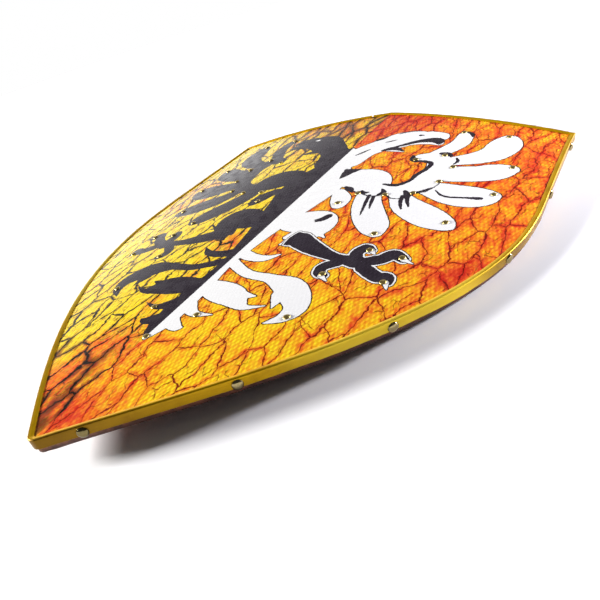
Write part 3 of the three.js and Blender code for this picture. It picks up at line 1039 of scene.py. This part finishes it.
class SHIELD_OT_make_tacks(bpy.types.Operator):
    """Makes the domed tacks that hold the strip's band to the board's edge"""

    bl_idname = "shield.make_tacks"
    bl_label = "Edge tacks"

    def execute(self, context):
        form = context.scene.shield_form
        metals = context.scene.shield_metals
        finish = head_finish("antique_nickel", metals.nickel, metals.tarnish_and_shade, metals.tack_roughness)
        ring = whole_ring(form, 0)
        runs = np.diff(np.vstack([ring, ring[:1]]), axis=0)
        for node in sorted(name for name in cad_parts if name.startswith("tack_")):
            place = plan_place(form, node)
            nearest = int(np.argmin(np.hypot(*(ring - place).T)))
            run = runs[nearest] / np.hypot(*runs[nearest])
            direction = bent_direction(form, place[0], (run[1], -run[0]), 0)
            make_head("domed_" + node, node, form.tack_radius, form.tack_height, TACK_SIDES, direction,
                      finish, form.tack_wear)
        return {"FINISHED"}


class SHIELD_OT_make_nails(bpy.types.Operator):
    """Makes the small brass nails on the eagle"""

    bl_idname = "shield.make_nails"
    bl_label = "Face nails"

    def execute(self, context):
        form = context.scene.shield_form
        metals = context.scene.shield_metals
        finish = head_finish("polished_brass", metals.brass, metals.tarnish_and_shade, metals.nail_roughness)
        for node in sorted(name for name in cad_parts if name.startswith("nail_")):
            direction = bent_direction(form, plan_place(form, node)[0], (0, 0), 1)
            make_head("brass_" + node, node, form.nail_radius, form.nail_height, NAIL_SIDES, direction,
                      finish, form.nail_wear)
        return {"FINISHED"}


# Stage

def soft_light(name, place, width, height, tint, power):
    """An upright soft light that shines on the middle of the shield."""
    data = bpy.data.lights.new(name, "AREA")
    data.shape = "RECTANGLE"
    data.size = width
    data.size_y = height
    data.energy = power
    data.color = tint
    lamp = bpy.data.objects.new(name, data)
    lamp.location = place
    lamp.rotation_euler = (-place).to_track_quat("-Z", "Y").to_euler()
    lamp.visible_camera = False
    bpy.context.scene.collection.objects.link(lamp)


def pale_surround(light):
    """A surround that is bright low down behind the shield, and plain white to the camera."""
    world = bpy.data.worlds.new("pale_surround")
    world.use_nodes = True
    sky = Nodes(world.node_tree)
    direction = sky.node("TexCoord", {}).outputs["Generated"]
    height = sky.part(direction, 2)
    behind = sky.node("VectorMath", {0: direction, 1: BRIGHT_SIDE}, operation="DOT_PRODUCT")
    behind = sky.step(behind.outputs["Value"], *BRIGHT_TURN)
    bright = sky.sum("MULTIPLY", behind, sky.step(height, *BRIGHT_HEIGHT, 1.0, 0.0))
    level = sky.node("Mix", {0: bright, 2: light.dim_sky, 3: light.bright_sky}).outputs[0]
    shown = sky.node("Mix", {0: sky.seen(), 2: level, 3: 1.0}).outputs[0]
    sky.put(sky.tree.nodes["Background"].inputs["Color"], (1, 1, 1, 1))
    sky.put(sky.tree.nodes["Background"].inputs["Strength"], shown)
    bpy.context.scene.world = world


def make_camera():
    """The camera at the photograph's standpoint."""
    forward = (CAMERA_AIM - CAMERA_EYE).normalized()
    level = forward.cross(Vector((0, 0, 1))).normalized()
    upright = level.cross(forward)
    right = level * math.cos(CAMERA_ROLL) + upright * math.sin(CAMERA_ROLL)
    up = right.cross(forward)
    data = bpy.data.cameras.new("camera")
    data.lens = CAMERA_LENS
    data.sensor_width = CAMERA_SENSOR
    data.clip_start = 0.01
    camera = bpy.data.objects.new("camera", data)
    turn = Matrix((right, up, -forward)).transposed()
    camera.matrix_world = Matrix.Translation(CAMERA_EYE) @ turn.to_4x4()
    bpy.context.scene.collection.objects.link(camera)
    bpy.context.scene.camera = camera


def floor_finish(light):
    """White paper that turns plain white to the camera far from the shield."""
    paper = Finish("white_paper")
    shade = paper.step(paper.cloud(paper.object_place(), 3.0, 2.0), 0.3, 0.7, 0.0, 0.02)
    away = paper.node("VectorMath", {0: paper.object_place()}, operation="LENGTH").outputs["Value"]
    far = paper.sum("MULTIPLY", paper.step(away, *FLOOR_FADE), paper.seen())
    paper.surface(Base_Color=paper.mix(shade, light.floor, (0.9, 0.9, 0.9, 1)), Roughness=0.9,
                  Emission_Color=(1, 1, 1, 1), Emission_Strength=far)
    return paper.material


class SHIELD_OT_make_stage(bpy.types.Operator):
    """Makes the pale floor, the soft lights and the camera"""

    bl_idname = "shield.make_stage"
    bl_label = "Floor, lights and camera"

    def execute(self, context):
        light = context.scene.shield_light
        bm = bmesh.new()
        bmesh.ops.create_circle(bm, cap_ends=True, segments=FLOOR_SIDES, radius=FLOOR_RADIUS)
        bmesh.ops.translate(bm, vec=(0, 0, -FLOOR_DROP), verts=bm.verts[:])
        mesh = bpy.data.meshes.new("floor")
        bm.to_mesh(mesh)
        bm.free()
        mesh.materials.append(floor_finish(light))
        floor = bpy.data.objects.new("floor", mesh)
        context.scene.collection.objects.link(floor)
        pale_surround(light)
        soft_light("left_light", *LEFT_LIGHT, light.left)
        soft_light("back_light", *BACK_LIGHT, light.back)
        context.scene.view_settings.view_transform = "Standard"
        make_camera()
        return {"FINISHED"}


class SHIELD_PT_workshop(bpy.types.Panel):
    """Lists the pieces of the shield and the values that shape them"""

    bl_idname = "SHIELD_PT_workshop"
    bl_label = "Painted Heater Shield"
    bl_space_type = "VIEW_3D"
    bl_region_type = "UI"
    bl_category = "Shield"

    def draw(self, context):
        for maker in MAKERS:
            self.layout.operator(maker.bl_idname)
        for name in VALUES:
            group = getattr(context.scene, name)
            box = self.layout.box()
            for value in group.__annotations__:
                box.prop(group, value)


VALUES = {
    "shield_form": ShieldForm,
    "shield_paint": ShieldPaint,
    "shield_metals": ShieldMetals,
    "shield_light": StudioLight,
}
MAKERS = (
    SHIELD_OT_make_board,
    SHIELD_OT_make_canvas,
    SHIELD_OT_make_strip,
    SHIELD_OT_make_tacks,
    SHIELD_OT_make_nails,
    SHIELD_OT_make_stage,
)


def register():
    """Registers the values, the operators and the panel."""
    for group in VALUES.values():
        bpy.utils.register_class(group)
    for name, group in VALUES.items():
        setattr(bpy.types.Scene, name, PointerProperty(type=group))
    for maker in MAKERS:
        bpy.utils.register_class(maker)
    bpy.utils.register_class(SHIELD_PT_workshop)


def unregister():
    """Takes everything that register added away again."""
    bpy.utils.unregister_class(SHIELD_PT_workshop)
    for maker in reversed(MAKERS):
        bpy.utils.unregister_class(maker)
    for name, group in VALUES.items():
        delattr(bpy.types.Scene, name)
        bpy.utils.unregister_class(group)


def main():
    register()
    bpy.ops.shield.make_board()
    bpy.ops.shield.make_canvas()
    bpy.ops.shield.make_strip()
    bpy.ops.shield.make_tacks()
    bpy.ops.shield.make_nails()
    bpy.ops.shield.make_stage()


if __name__ == "__main__":
    main()
